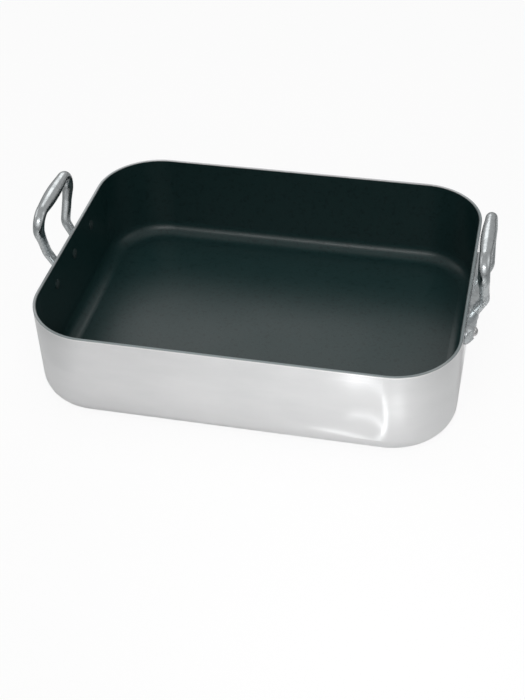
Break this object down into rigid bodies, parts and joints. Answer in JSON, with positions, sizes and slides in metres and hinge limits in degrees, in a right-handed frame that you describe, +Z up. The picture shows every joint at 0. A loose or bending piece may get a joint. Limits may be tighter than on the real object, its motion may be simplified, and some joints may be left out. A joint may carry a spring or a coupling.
{
  "type": "roasting pan",
  "caption": "Deep rectangular aluminium roasting pan with round corners, a dark non-stick inside and a riveted upright loop handle at each end.",
  "frame": {"origin": "middle of the underside, on the surface that the pan stands on", "axes": "+X along the pan's length, towards one handle; +Y along its width; +Z up"},
  "size_m": [0.4582, 0.324, 0.1568],
  "materials": {
    "pressed_aluminium": "satin",
    "nonstick": "satin",
    "cast_aluminium": "polished",
    "rivet_aluminium": "polished"
  },
  "bodies": {
    "root": {"pan_shell": "pressed_aluminium", "nonstick_coating": "nonstick", "left_handle": "cast_aluminium", "right_handle": "cast_aluminium", "left_rivet_front": "rivet_aluminium", "left_rivet_middle": "rivet_aluminium", "left_rivet_back": "rivet_aluminium", "right_rivet_front": "rivet_aluminium", "right_rivet_middle": "rivet_aluminium", "right_rivet_back": "rivet_aluminium"}
  },
  "joints": []
}
